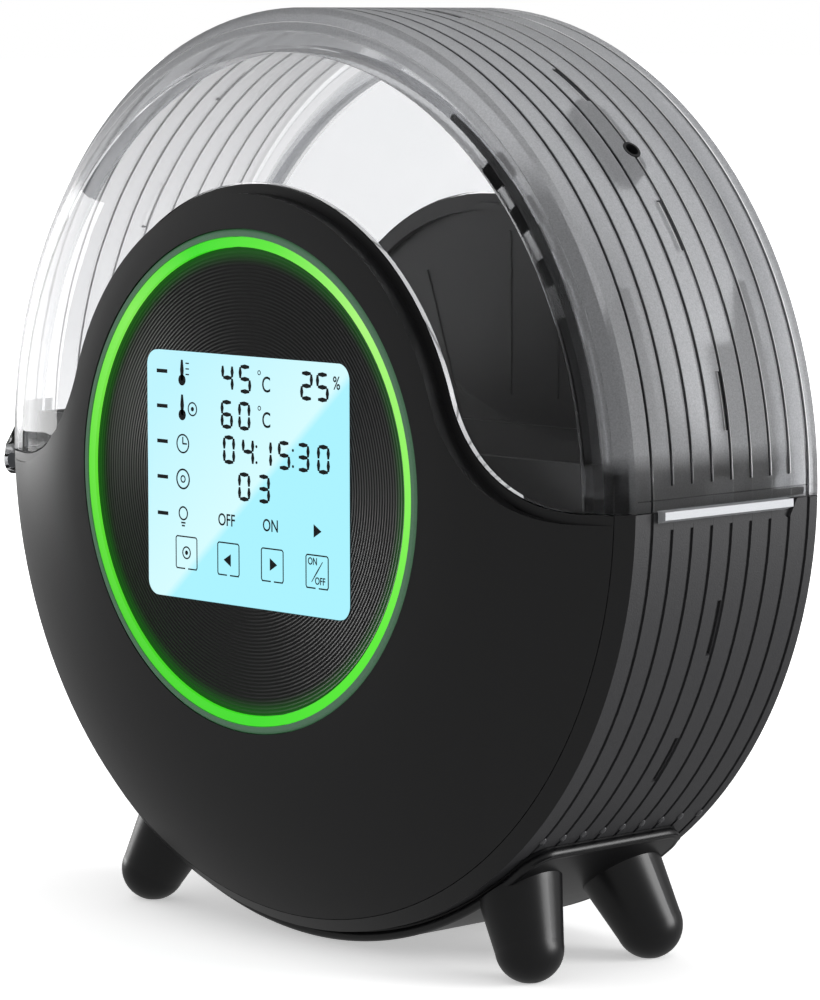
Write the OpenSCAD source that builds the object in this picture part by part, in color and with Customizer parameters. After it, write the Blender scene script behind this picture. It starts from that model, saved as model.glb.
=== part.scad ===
// Filament dryer box: a flat round drum on a four-legged stand, with a clear hinged lid over
// its upper half, a heated bay for one spool, and a lit round control panel on its front.
// The drum lies on its side, so its axis runs front to back. +X right, +Y back, +Z up.
// The origin is on the table, in the middle of the four feet and of the drum's width.

/* [Drum] */
// Outer radius of the drum
drum_r = 140; // [136:1:150]
// Front to back size of the drum's rim
rim_depth = 82.5; // [80:0.5:92]
// Gap between the drum's lowest point and the table
ground_gap = 5; // [4:0.5:12]
// Thickness of the moulded walls
wall = 2.5; // [2:0.1:2.8]
// Size of the bevel round the front edge
front_bevel = 4.2; // [3:0.1:5]
// Size of the bevel round the back edge
back_bevel = 2; // [1:0.1:2.2]
// Gap between the lid and the base where they part
lid_gap = 0.4; // [0.3:0.05:0.6]
// Height of the parting line, measured from the drum's axis
split = -2; // [-4:0.5:0]

/* [Front and back faces] */
// How far the round front face stands ahead of the rim
front_rise = 19.6; // [17:0.2:22]
// Radius where the front face starts to curve back
front_flat_r = 70; // [66:1:74]
// How far the lid's front pane stands ahead of the rim
pane_rise = 14.2; // [13:0.2:16]
// Distance from the panel's bezel out to the edge of the front face's round top
dome_margin = 12.2; // [10:0.2:14]
// Radius of the two hollow curves that lead the round top into the parting line
sweep_r = 45; // [36:1:50]
// Width of the stepped band along the front face's upper edge
band_w = 3.2; // [2.6:0.1:4]
// How far the back face stands behind the rim
back_rise = 3.8; // [3:0.1:5]
// Radius of the back face's round top
back_dome_r = 82.5; // [78:0.5:86]
// Thickness of the lid's panes
pane_t = 2.2; // [1.8:0.1:2.6]

/* [Rim grooves] */
// Distance from the rim's front edge to the first groove
groove_front = 10.95; // [9:0.05:12]
// Distance from the rim's back edge to the last groove
groove_back = 5.95; // [5:0.05:7]
// Number of grooves round the rim
groove_count = 9; // [5:1:11]
// Width of a groove
groove_w = 1.3; // [0.8:0.1:1.8]
// Depth of a groove
groove_d = 0.8; // [0.4:0.1:1]

/* [Spool bay] */
// Gap between the rim's wall and the tub inside it
tub_gap = 12.9; // [11:0.1:16]
// Gap between the tub's side walls and the rim's edges
bay_gap = 1.65; // [1.5:0.05:3]
// Thickness of the tub's walls
tub_t = 1.6; // [1.2:0.1:2]
// Height of the tub's lip above the parting line
lip_h = 13; // [8:1:16]
// Gap between a roller and the tub under it
roller_gap = 5.2; // [4:0.1:8]
// Radius of a roller
roller_r = 6; // [5:0.5:7]
// Width of a roller
roller_w = 10; // [8:1:12]
// Radius of a roller's shaft
shaft_r = 2.5; // [2:0.1:3]
// Running clearance round every pin and shaft
run_fit = 0.05; // [0.03:0.01:0.08]

/* [Control panel] */
// Outer radius of the light ring
ring_r = 73.6; // [72:0.2:74]
// Width of the light ring
ring_w = 3.1; // [2:0.1:4]
// Width of the bezel round the light ring
bezel_w = 2.2; // [1.6:0.1:2.8]
// Width of the screen
screen_w = 91.6; // [84:0.4:94]
// Height of the screen
screen_h = 75.4; // [68:0.4:78]
// Radius of the screen's corners
screen_corner = 4.6; // [3:0.2:6]
// Height of the panel's centre, measured from the drum's axis
panel_u = -1.5; // [-3:0.5:0]

/* [Stand and hinge] */
// Distance from the middle to the feet, sideways
foot_x = 86; // [80:1:92]
// Distance from the middle to the feet, front to back
foot_y = 25.3; // [22:0.5:28]
// Radius of a foot's round end
foot_r = 10.3; // [9:0.1:12]
// Thickness of the stand's saddle
saddle_t = 3.4; // [3:0.1:4]
// Distance from the rim out to the axis of the lid's hinge
hinge_out = 8; // [7:0.5:10]
// Outer radius of the hinge knuckles
knuckle_r = 4.4; // [4:0.1:5]
// Radius of the hinge pins
pin_r = 2.5; // [2:0.1:2.8]
// Radius of the filament outlet's bore, for a 4 mm guide tube
outlet_r = 2.1; // [2:0.1:2.4]

/* [Hidden] */
$fn = 96;
hair = 0.01;
// The lid's turned shapes close on themselves at the bottom, where they are cut away, and the
// base rim's at the top.
seam_a = -90;
lap = 0.2;
fit = 0.15;
move_gap = 0.3;

// The drum's planes and radii.
axis_height = drum_r + ground_gap;
half_d = rim_depth / 2;
face_r = drum_r - front_bevel;
back_r = drum_r - back_bevel;
wall_in = drum_r - wall;
back_flat_r = back_r - 38;
sweep_u = split + sweep_r;

// The bay: the tub, and the rollers that stand on it.
tub_out = wall_in - tub_gap;
tub_r = tub_out - tub_t;
bay_half = half_d - bay_gap - tub_t;
bay_w = 2 * bay_half;
lip_u = split + lip_h;
roller_ring = tub_r - roller_gap - roller_r;
roller_a = 32.95;
roller_x = roller_ring * sin(roller_a);
roller_u = -roller_ring * cos(roller_a);
roller_h = bay_half - 3 - roller_w / 2;
boss_t = 2.5;

// The fins on the tub's lip.
fin_h = 24;
fin_rise = 49;
fin_foot = 6;
fin_t = 4.8;
fin_gap = 1;
fin_u = lip_u + fin_rise;
fin_top_x = sqrt(pow(wall_in - fin_gap, 2) - pow(fin_u, 2)) - 2;
bracket_half = 9.5;
bracket_rise = 31;
bracket_drop = 8;

// The heater under the tub, and the parts that watch it.
heater_from = 200;
heater_turn = 140;
heater_edge = 3;
film_t = 0.4;
sheet_t = 1;
sensor_x = 70;
sensor_u = -30;
sensor_slot_w = 1.4;
sensor_slot_h = 8;

// The panel, from its face back to the cover behind it.
face_h = half_d + front_rise;
ring_in = ring_r - ring_w;
bezel_r = ring_r + bezel_w;
dome_r = bezel_r + dome_margin;
disc_inset = 1.2;
disc_h = face_h - disc_inset;
disc_t = 2;
display_t = 1.4;
seat_depth = 5;
seat_h = disc_h - seat_depth;
panel_back_t = 1.5;
panel_space = 4;
dome_floor = seat_h - panel_space;
shelf_u = split - 4;
cable_w = 24;
cable_low = panel_u - ring_in + 8.8;
cable_high = panel_u - screen_h / 2 + 7.2;
circuit_t = 1.2;
board_gap = 0.6;
chip_count = 24;

// The power board in front of the tub.
board_u = -92;
board_w = 110;
board_d = 38;
board_t = 1.6;
board_lift = 4;
board_edge = 5;
board_h = bay_half + tub_t + board_lift;

// The rim's grooves and slots: angles from +X, upward.
groove_pitch = (rim_depth - groove_front - groove_back) / (groove_count - 1);
groove_h = [for (i = [0:groove_count - 1]) half_d - groove_front - i * groove_pitch];
inner_grooves = [for (i = [1:groove_count - 2]) groove_h[i]];
middle_groove = groove_h[floor(groove_count / 2)];
base_groove_end = 3;
stop_drop = 0.06;
lid_groove_end = 2.1;
lid_slots = [7.9, 30, 53.4, 77.6];
base_slots = [-19.3, -37.8];
slot_turn = 7;
slot_w = 2.4;

// Where the lid's pane meets its rim.
pane_in = tub_out + 2.1;
rib_t = 1.8;
rib_d = 5.8;

// The filament outlet, measured round the rim and forward of its middle.
outlet_a = 44.7;
outlet_h = -2.8;
collar_r = outlet_r + 0.8;
tray_w = 12;
tray_t = 6;
tray_from = 43.6;
tray_turn = 8.4;
tray_h = outlet_h + 1.9;
tray_wall = 1.6;
tray_floor = 1;

// The pull on the lid's edge, and the trim inside its pane.
pull_half = 26.8;
pull_mid = 1.8;
pull_out = 3.4;
catch_half = 7;
trim_angles = [47.3, 39.8, 31.5, 22.9];
trim_w = 4.6;
trim_in = 3.2;
trim_from = asin((lip_u + 1.5) / (tub_out - trim_in));
trim_to = 59;
trim_t = 1.2;
trim_h = half_d - 5.4;
clip_turn = 3.8;
clip_len = 5.2;

// Screws.
screw_r = 1.4;
head_r = 2.6;
head_t = 1.6;
boss_r = 3.8;
boss_len = 18;
back_screw_angles = [200, 222, 318, 340];

// The stand, and the hinge at the drum's left.
saddle_from = 228;
saddle_turn = 84;
saddle_half = half_d - 9.2;
saddle_corner = 8;
saddle_round = 1.2;
foot_flat = 0.5;
foot_u = -axis_height + foot_r - foot_flat;
splay = [0.5, 0.235];
leg_flare = 4.2;
leg_sink = 8.65;
hinge_x = drum_r + hinge_out;
hinge_u = split - 5.2;
knuckle_w = 10;
knuckle_gap = 0.3;
station = half_d - 13.5;

// The power inlet, between the tub and the rim at the back.
inlet_a = 247;
inlet_x = (tub_out + wall_in) / 2 * cos(inlet_a);
inlet_u = (tub_out + wall_in) / 2 * sin(inlet_a);
inlet_hole_r = 4;
vent_u = -78;
vent_pitch = 7;
vent_w = 2.4;
vent_h = 24;

// Puts a shape drawn as (across, up, forward of the rim's middle) on the drum's axis.
module on_drum() translate([0, 0, axis_height]) rotate([90, 0, 0]) children();

// Turns a (radius, forward) section all round, or through part of a turn, on the drum's axis.
module spun(from = 0, turn = 360) rotate([0, 0, from]) rotate_extrude(angle = turn) children();

// A flat plate between two distances forward of the rim's middle.
module plate(h0, h1) translate([0, 0, h0]) linear_extrude(h1 - h0) children();

// Everything above or below a height.
module above(u) translate([-2 * drum_r, u]) square(4 * drum_r);
module below(u) translate([-2 * drum_r, u - 4 * drum_r]) square(4 * drum_r);

// The outline of the base seen from the front: a half plane with a round top, led into it by
// two hollow sweeps, and grown by g.
module base_outline(top_r, g) {
  sweep_x = sqrt(pow(top_r + sweep_r, 2) - pow(sweep_u, 2));
  circle(r = top_r + g);
  below(split + g);
  for (side = [-1, 1])
    difference() {
      polygon([[0, 0], [side * sweep_x, sweep_u], [side * sweep_x, split - 10], [0, split - 10]]);
      translate([side * sweep_x, sweep_u]) circle(r = sweep_r - g);
    }
}

// The section under a crowned face that rises by rise from its edge to its flat middle,
// taken in by t.
module crown(flat_r, edge_r, rise, t) {
  run = edge_r - flat_r;
  rho = (run * run + rise * rise) / (2 * rise);
  translate([0, half_d - 30]) square([flat_r, 30 + rise - t]);
  intersection() {
    translate([flat_r, half_d + rise - rho]) circle(r = rho - t);
    translate([flat_r - hair, half_d - 30]) square([run - lap, 30 + rise]);
  }
}

module crown_skin(flat_r, edge_r, rise, t)
  difference() {
    crown(flat_r, edge_r, rise, 0);
    crown(flat_r, edge_r, rise, t);
    translate([-hair, 0]) square([drum_r, half_d - wall - 1]);
  }

// One crowned face of the base: its skin, the stepped edge down to skirt_h, and the ledge
// that meets the lid's pane.
module base_face(flat_r, edge_r, rise, ledge_rise, top_r, skirt_h) {
  intersection() {
    spun() crown_skin(flat_r, edge_r, rise, wall);
    plate(0, 2 * face_h) base_outline(top_r, -band_w);
  }
  intersection() {
    spun() difference() {
      crown(flat_r, edge_r, rise, 0);
      translate([-hair, 0]) square([drum_r, skirt_h]);
    }
    plate(0, 2 * face_h) difference() {
      base_outline(top_r, -band_w);
      base_outline(top_r, -band_w - wall);
    }
  }
  intersection() {
    spun() crown_skin(flat_r, edge_r, ledge_rise, pane_t);
    plate(0, 2 * face_h) difference() {
      base_outline(top_r, -lid_gap);
      base_outline(top_r, -band_w - wall);
    }
  }
}

// The bevelled ring that joins a face to the rim.
module edge_section(bevel)
  polygon([[drum_r - bevel, half_d], [drum_r, half_d - bevel], [wall_in, half_d - bevel],
    [drum_r - bevel - wall, half_d - wall]]);

// The section of the lid's rim, with a bevel at each end.
module lid_band()
  polygon([[face_r, half_d], [drum_r, half_d - front_bevel], [drum_r, back_bevel - half_d],
    [drum_r - back_bevel, -half_d], [drum_r - back_bevel - wall, wall - half_d],
    [wall_in, back_bevel - half_d], [wall_in, half_d - front_bevel], [face_r - wall, half_d - wall]]);

// The rim's grooves, right through a band of wall.
module grooves(from, turn)
  spun(from, turn)
    for (h = groove_h)
      translate([drum_r - groove_d, h - groove_w / 2]) square([groove_d + 1, groove_w]);

// What closes the inner grooves at both ends, from below the axis to above it in degrees. It
// stays a hair under the rim's surface.
module groove_stops(above_a, below_a) {
  first = inner_grooves[len(inner_grooves) - 1] - groove_w;
  last = inner_grooves[0] + groove_w;
  for (from = [-below_a, 180 - above_a])
    spun(from, above_a + below_a)
      translate([drum_r - groove_d - lap, first]) square([groove_d + lap - stop_drop, last - first]);
}

// A pan-head screw that points forward, its head's underside at h = 0.
module screw(len) {
  cylinder(r = screw_r, h = len);
  translate([0, 0, -head_t]) difference() {
    cylinder(r = head_r, h = head_t);
    translate([0, 0, -hair]) cylinder(r = 1.1, h = 1, $fn = 6);
  }
}

module at_back_screws()
  for (a = back_screw_angles) rotate([0, 0, a]) translate([wall_in - boss_r + 0.5, 0, 0]) children();

module front_shell()
  color([0.07, 0.07, 0.08]) on_drum()
    difference() {
      union() {
        base_face(front_flat_r, face_r, front_rise, pane_rise, dome_r, dome_floor + panel_back_t);
        intersection() {
          spun() edge_section(front_bevel);
          plate(0, face_h) below(split - fit);
        }
        translate([0, panel_u, 0]) spun() {
          translate([ring_in - 6, seat_h - panel_back_t])
            square([bezel_r + fit + wall - ring_in + 6, panel_back_t]);
          translate([bezel_r + fit, seat_h - panel_back_t]) square([wall, face_h - wall / 2 - seat_h]);
        }
      }
      translate([0, panel_u, seat_h]) cylinder(r = bezel_r + fit, h = face_h);
    }

module base_rim()
  color([0.13, 0.13, 0.14]) on_drum()
    difference() {
      union() {
        intersection() {
          union() {
            difference() {
              spun(-seam_a) translate([wall_in, -half_d + back_bevel])
                square([wall, rim_depth - front_bevel - back_bevel]);
              grooves(170, 200);
            }
            groove_stops(10, base_groove_end);
          }
          plate(-half_d, half_d) below(split - lid_gap / 2);
        }
        at_back_screws() translate([0, 0, -half_d + wall + fit]) cylinder(r = boss_r, h = boss_len);
      }
      at_back_screws() translate([0, 0, -half_d]) cylinder(r = screw_r, h = 16);
      for (a = base_slots) vent_slots(a);
      pull_notch();
      at_stand_screws() cylinder(r = screw_r + fit, h = 20);
    }

// A short wide slot beside the middle groove, from an angle, and its twin on the other side.
module vent_slots(a)
  for (from = [a, 180 - a - slot_turn])
    spun(from, slot_turn)
      translate([drum_r - 2 * groove_d, middle_groove]) square([3, slot_w]);

// The thumb notch in the base, just behind the lid's pull.
module pull_notch()
  translate([drum_r - 1.5, 0, 0]) rotate([0, -90, 0]) mirror([0, 0, 1])
    linear_extrude(5)
      polygon([[pull_mid - pull_half - 6, split + 1], [pull_mid - pull_half + 4, split + 1],
        [pull_mid - pull_half + 4, split - 2.6], [pull_mid - pull_half - 2.2, split - 6]]);

module back_shell()
  color([0.07, 0.07, 0.08]) on_drum()
    difference() {
      union() {
        mirror([0, 0, 1]) {
          base_face(back_flat_r, back_r, back_rise, back_rise - 1, back_dome_r, half_d - 1);
          intersection() {
            spun() edge_section(back_bevel);
            plate(0, face_h) below(split - fit);
          }
        }
      }
      mirror([0, 0, 1]) spun() translate([wall_in - lap, 0]) square([wall + 1, half_d - back_bevel + hair]);
      at_back_screws() translate([0, 0, -half_d - back_rise - 1]) {
        cylinder(r = screw_r + fit, h = 10);
        cylinder(r = 3, h = back_rise + 1.6);
      }
      for (i = [-5:5]) translate([i * vent_pitch, vent_u, -half_d - back_rise - 2.2]) vent_cut();
      translate([inlet_x, inlet_u, -half_d - back_rise - 2.2]) cylinder(r = inlet_hole_r, h = 10);
    }

module vent_cut() {
  translate([-vent_w / 2, -vent_h / 2, 0]) cube([vent_w, vent_h, 10]);
}

// The tub: a half-round trough with two side walls that stand above the parting line.
module inner_tub()
  color([0.05, 0.05, 0.06]) on_drum()
    difference() {
      union() {
        intersection() {
          spun() translate([tub_r, -bay_half - tub_t]) square([tub_t, bay_w + 2 * tub_t]);
          plate(-half_d, half_d) below(lip_u);
        }
        for (side = [-1, 1])
          intersection() {
            plate(side * (bay_half + tub_t / 2) - tub_t / 2, side * (bay_half + tub_t / 2) + tub_t / 2)
              intersection() {
                circle(r = tub_r + hair);
                below(lip_u);
              }
          }
        at_rollers() for (side = [-1, 1])
          translate([0, 0, side * (bay_half - boss_t / 2) - boss_t / 2])
            cylinder(r = shaft_r + 2.5, h = boss_t);
        at_board_screws() translate([0, 0, -board_lift]) cylinder(r = 3, h = board_lift);
      }
      at_board_screws() translate([0, 0, -board_lift]) cylinder(r = screw_r, h = board_lift + 1);
      at_rollers() translate([0, 0, -bay_half - tub_t - 1]) cylinder(r = shaft_r, h = bay_w + 2 * tub_t + 2);
      for (i = [-2:2]) translate([sensor_x + i * 3, sensor_u, -bay_half - tub_t - 1])
        translate([-sensor_slot_w / 2, -sensor_slot_h / 2, 0])
          cube([sensor_slot_w, sensor_slot_h, tub_t + 2]);
    }

module at_rollers()
  for (side = [-1, 1]) translate([side * roller_x, roller_u, 0]) children();

// Two upright fins close behind the lid's rim, each on a bracket outside the tub's lip.
module guide_fins()
  color([0.10, 0.10, 0.11]) on_drum()
    for (side = [-1, 1]) {
      plate(side * fin_h - bracket_half, side * fin_h + bracket_half) difference() {
        intersection() {
          circle(r = tub_out + fin_t);
          translate([0, lip_u - bracket_drop]) square([drum_r, bracket_rise + bracket_drop]);
        }
        circle(r = tub_out + hair);
      }
      plate(side * fin_h - fin_t / 4, side * fin_h + fin_t / 4) intersection() {
        circle(r = wall_in - fin_gap);
        polygon([[tub_out - fin_foot, lip_u + hair], [drum_r, lip_u + hair], [drum_r, fin_u],
          [fin_top_x, fin_u]]);
      }
    }

module heater_film()
  color([0.75, 0.35, 0.08]) on_drum()
    spun(heater_from + 4, heater_turn - 8)
      translate([tub_r - film_t, -bay_half + heater_edge + 2]) square([film_t, bay_w - 2 * heater_edge - 4]);

module heater_plate()
  color([0.75, 0.76, 0.78]) on_drum()
    spun(heater_from, heater_turn)
      translate([tub_r - film_t - sheet_t, -bay_half + heater_edge])
        square([sheet_t, bay_w - 2 * heater_edge]);

module thermal_cutout()
  color([0.85, 0.85, 0.82]) on_drum()
    rotate([0, 0, 262]) translate([tub_out, -5, -10]) cube([4, 10, 20]);

module bay_sensor()
  color([0.10, 0.35, 0.16]) on_drum() {
    translate([sensor_x - 9, sensor_u - 7, -bay_half - tub_t - 1.3]) cube([18, 14, 1]);
    translate([sensor_x - 2, sensor_u - 2, -bay_half - tub_t - 0.3 - hair]) cube([4, 4, 0.3]);
  }

module roller_shafts()
  color([0.8, 0.8, 0.82]) on_drum()
    at_rollers() translate([0, 0, -bay_half - tub_t]) cylinder(r = shaft_r, h = bay_w + 2 * tub_t);

// One grooved roller on a shaft, on the given side and at the front (+1) or back (-1).
module roller(side, end)
  color([0.12, 0.12, 0.13]) on_drum()
    translate([side * roller_x, roller_u, end * roller_h - roller_w / 2])
      rotate_extrude() difference() {
        translate([shaft_r + run_fit, 0]) square([roller_r - shaft_r - run_fit, roller_w]);
        translate([roller_r - 0.4, roller_w / 2 - 2]) square([1, 4]);
      }

module roller_front_left() roller(-1, 1);
module roller_front_right() roller(1, 1);
module roller_back_left() roller(-1, -1);
module roller_back_right() roller(1, -1);

// The cover behind the panel, with the shelf that joins it to the tub.
module panel_back()
  color([0.05, 0.05, 0.06]) on_drum()
    intersection() {
      union() {
        plate(dome_floor, dome_floor + panel_back_t) intersection() {
          base_outline(dome_r, -band_w);
          above(shelf_u - 2);
        }
        plate(bay_half + tub_t, dome_floor + hair) intersection() {
          above(shelf_u - 2);
          below(shelf_u - 2 + panel_back_t);
        }
      }
      spun() crown(front_flat_r, face_r, pane_rise, pane_t + fit);
      plate(0, face_h) circle(r = tub_r);
    }

module screen_outline(g)
  translate([0, panel_u]) {
    cr = screen_corner + g;
    w = screen_w / 2 + g;
    h = screen_h / 2 + g;
    square([2 * w - 2 * cr, 2 * h], center = true);
    square([2 * w, 2 * h - 2 * cr], center = true);
    for (x = [-1, 1], y = [-1, 1]) translate([x * (w - cr), y * (h - cr)]) circle(r = cr);
  }

module face_disc()
  color([0.04, 0.04, 0.045]) on_drum()
    plate(disc_h - disc_t, disc_h) difference() {
      translate([0, panel_u]) circle(r = ring_in - fit);
      screen_outline(fit);
    }

module light_ring()
  color([0.36, 1.0, 0.16]) on_drum()
    translate([0, panel_u, 0]) spun()
      translate([ring_in, disc_h - 3]) square([ring_w - fit, 4]);

module ring_bezel()
  color([0.37, 0.50, 0.45]) on_drum()
    translate([0, panel_u, 0]) spun()
      polygon([[ring_r, disc_h - 3], [bezel_r, disc_h - 3], [bezel_r, face_h - 0.6],
        [bezel_r - 0.8, face_h + 0.2], [ring_r, face_h + 0.2]]);

module touch_glass()
  color([0.75, 0.97, 1.0]) on_drum()
    plate(disc_h - 1, disc_h + 0.1) screen_outline(0);

module display_module()
  color([0.85, 0.86, 0.86]) on_drum()
    plate(disc_h - disc_t - display_t, disc_h - 1) screen_outline(-1.5);

module light_board()
  color([0.08, 0.30, 0.14]) on_drum()
    translate([0, panel_u, 0]) spun() translate([ring_in - 3, seat_h]) square([ring_w + 3, circuit_t]);

module light_chips()
  color([0.95, 0.95, 0.8]) on_drum()
    translate([0, panel_u, 0])
      for (i = [0:chip_count - 1])
        rotate([0, 0, i * 360 / chip_count])
          translate([(ring_in + ring_r) / 2 - 1.2, -1.5, disc_h - 3.8]) cube([2.4, 3, 0.7]);

module display_board()
  color([0.08, 0.30, 0.14]) on_drum()
    translate([-screen_w / 2 + 3.8, panel_u - screen_h / 2 + 7.7, dome_floor + panel_back_t + board_gap])
      cube([screen_w - 7.6, screen_h - 15.4, circuit_t]);

module flex_cable()
  color([0.70, 0.42, 0.12]) on_drum()
    translate([-cable_w / 2, cable_low, dome_floor + panel_back_t + board_gap + 0.2])
      cube([cable_w, cable_high - cable_low, 0.3]);

// The four points where the power board stands on the tub's posts, at the board's underside.
module at_board_screws()
  for (x = [-1, 1], y = [board_edge, board_d - board_edge])
    translate([x * (board_w / 2 - board_edge), board_u + y, board_h]) children();

module power_board()
  color([0.08, 0.30, 0.14]) on_drum()
    difference() {
      translate([0, board_u, board_h]) {
        translate([-board_w / 2, 0, 0]) cube([board_w, board_d, board_t]);
        translate([-40, 8, board_t - hair]) cube([14, 14, 5]);
        translate([-15, 6, board_t - hair]) cube([10, 24, 4]);
        for (x = [8, 22]) translate([x, 18, board_t - hair]) cylinder(r = 4, h = 5.4);
      }
      at_board_screws() translate([0, 0, -1]) cylinder(r = screw_r + fit, h = board_t + 2);
    }

module board_screws()
  color([0.78, 0.78, 0.8]) on_drum()
    at_board_screws() translate([0, 0, board_t]) mirror([0, 0, 1]) screw(board_t + board_lift - 0.6);

module dc_inlet()
  color([0.06, 0.06, 0.06]) on_drum()
    translate([inlet_x, inlet_u, -half_d - 0.3]) {
      difference() {
        union() {
          cylinder(r = inlet_hole_r - fit, h = 4);
          translate([-4.6, -4.6, 3.6]) cube([9.2, 9.2, 12]);
        }
        translate([0, 0, -1]) cylinder(r = 2.8, h = 10);
      }
      cylinder(r = 1, h = 10);
    }

module at_feet() for (x = [-1, 1], y = [-1, 1]) scale_side(x, y) children();
module scale_side(x, y) mirror([x < 0 ? 1 : 0, 0, 0]) mirror([0, 0, y < 0 ? 1 : 0]) children();

// How far a leg climbs before its root lies leg_sink inside the drum's radius.
function leg_reach(s = splay[0], deep = drum_r - leg_sink) =
  (s * foot_x - foot_u - sqrt(pow(s * foot_x - foot_u, 2)
    - (1 + s * s) * (pow(foot_x, 2) + pow(foot_u, 2) - pow(deep, 2)))) / (1 + s * s);

// One splayed leg: a round foot, and a cone that widens up to the saddle.
module leg() {
  reach = leg_reach();
  top = [foot_x - splay[0] * reach, foot_u + reach, foot_y - splay[1] * reach];
  along = top - [foot_x, foot_u, foot_y];
  len = norm(along);
  translate([foot_x, foot_u, foot_y]) {
    rotate([0, 0, -atan2(along[0], along[1])]) rotate([atan2(along[2], norm([along[0], along[1]])), 0, 0])
      rotate([-90, 0, 0]) rotate_extrude() intersection() {
        union() {
          circle(r = foot_r);
          polygon([[0, 0], [foot_r, 0], [foot_r + leg_flare, len], [0, len]]);
        }
        translate([0, -len]) square(3 * len);
      }
  }
}

// The band that the drum rests in, with rounded outer edges and corners.
module saddle()
  difference() {
    spun(saddle_from, saddle_turn)
      translate([drum_r + fit, -saddle_half]) polygon([[0, 0], [saddle_t - saddle_round, 0],
        [saddle_t, saddle_round], [saddle_t, 2 * saddle_half - saddle_round],
        [saddle_t - saddle_round, 2 * saddle_half], [0, 2 * saddle_half]]);
    for (x = [-1, 1], y = [-1, 1]) scale_side(x, y)
      rotate([0, 0, saddle_from + saddle_turn]) translate([drum_r - 1, 0, saddle_half])
        rotate([0, 90, 0]) linear_extrude(saddle_t + 3) difference() {
          translate([-1, -saddle_corner]) square(saddle_corner + 1);
          translate([saddle_corner - lap, lap - saddle_corner]) circle(r = saddle_corner);
        }
  }

module stand()
  color([0.03, 0.03, 0.03]) on_drum()
    difference() {
      union() {
        saddle();
        difference() {
          at_feet() leg();
          translate([0, 0, -half_d]) cylinder(r = drum_r + fit + saddle_t / 2, h = rim_depth);
        }
      }
      plate(-half_d, half_d) below(-axis_height);
      at_stand_screws() cylinder(r = screw_r, h = wall + saddle_t + 1.4);
    }

module at_stand_screws()
  for (a = [246, 294], h = [-15, 15])
    rotate([0, 0, a]) translate([wall_in - 2, 0, h]) rotate([0, 90, 0]) children();

module stand_screws()
  color([0.78, 0.78, 0.8]) on_drum()
    at_stand_screws() translate([0, 0, 2]) screw(wall + saddle_t - 0.8);

module back_screws()
  color([0.25, 0.25, 0.26]) on_drum()
    at_back_screws() translate([0, 0, -half_d + 0.6]) screw(14);

// Hinge stations along the drum's axis: each has a lid knuckle outside a base knuckle.
module at_stations() for (side = [-1, 1]) mirror([0, 0, side < 0 ? 1 : 0]) children();

module hinge_brackets()
  color([0.13, 0.13, 0.14]) on_drum()
    at_stations()
      plate(station - 1.5 * knuckle_w - knuckle_gap, station - 0.5 * knuckle_w - knuckle_gap)
        difference() {
          union() {
            translate([-hinge_x, hinge_u]) circle(r = knuckle_r);
            intersection() {
              polygon([[-hinge_x, hinge_u + knuckle_r * 0.2], [-drum_r + 4, hinge_u + knuckle_r * 0.2],
                [-drum_r + 4, hinge_u - 16], [-hinge_x, hinge_u - knuckle_r]]);
              difference() {
                circle(r = 2 * drum_r);
                circle(r = drum_r + hair);
              }
            }
          }
          translate([-hinge_x, hinge_u]) circle(r = pin_r);
        }

module hinge_pins()
  color([0.75, 0.75, 0.77]) on_drum()
    at_stations()
      translate([-hinge_x, hinge_u, station - 1.5 * knuckle_w]) cylinder(r = pin_r, h = 2 * knuckle_w);

module lid_hinge_arms()
  color([0.72, 0.74, 0.76, 0.6]) on_drum()
    at_stations()
      plate(station - 0.5 * knuckle_w, station + 0.5 * knuckle_w)
        difference() {
          union() {
            translate([-hinge_x, hinge_u]) circle(r = knuckle_r);
            difference() {
              polygon([[-hinge_x - knuckle_r, hinge_u], [-hinge_x + knuckle_r * 0.5, hinge_u],
                [-drum_r + 1, split + lid_gap], [-drum_r + 1, split + 16],
                [-hinge_x - knuckle_r + 1, hinge_u + 5]]);
              circle(r = drum_r + hair);
              intersection() {
                circle(r = drum_r + move_gap);
                below(split + lid_gap / 2);
              }
            }
          }
          translate([-hinge_x, hinge_u]) circle(r = pin_r + run_fit);
        }

// The lid's frosted rim: the band, the bevels, and the ring that carries each pane.
module lid_rim()
  color([0.45, 0.46, 0.48]) on_drum()
    difference() {
      intersection() {
        union() {
          difference() {
            spun(seam_a) lid_band();
            grooves(-10, 200);
          }
          groove_stops(lid_groove_end, 10);
          pane_ring(front_flat_r, face_r, pane_rise);
          mirror([0, 0, 1]) pane_ring(back_flat_r, back_r, back_rise - 1);
        }
        plate(-2 * half_d, 2 * half_d) above(split + lid_gap / 2);
      }
      for (a = lid_slots) vent_slots(a);
      difference() {
        plate(-half_d - 1, half_d + 1) difference() {
          circle(r = drum_r + 1);
          circle(r = drum_r - 0.3);
          above(split + 3.6);
        }
        plate(-half_d - 2, half_d + 2) below(split + 3.2);
      }
      at_outlet() translate([0, 0, -9]) cylinder(r = collar_r + fit, h = 12);
      for (a = trim_angles) clip_slot(a);
    }

// A slot through the rib behind the front pane, for one clip of the trim.
module clip_slot(a)
  spun(a - clip_turn / 2 - fit, clip_turn + 2 * fit)
    translate([pane_in - fit, trim_h - trim_t / 2 - fit])
      square([clip_len + tub_out - pane_in + 2 * fit, trim_t + 1.5 * fit]);

// The outlet's place on the lid's shoulder, pointing straight out of the rim.
module at_outlet()
  rotate([0, 0, outlet_a]) translate([drum_r, 0, outlet_h]) rotate([0, 90, 0]) children();

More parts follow.
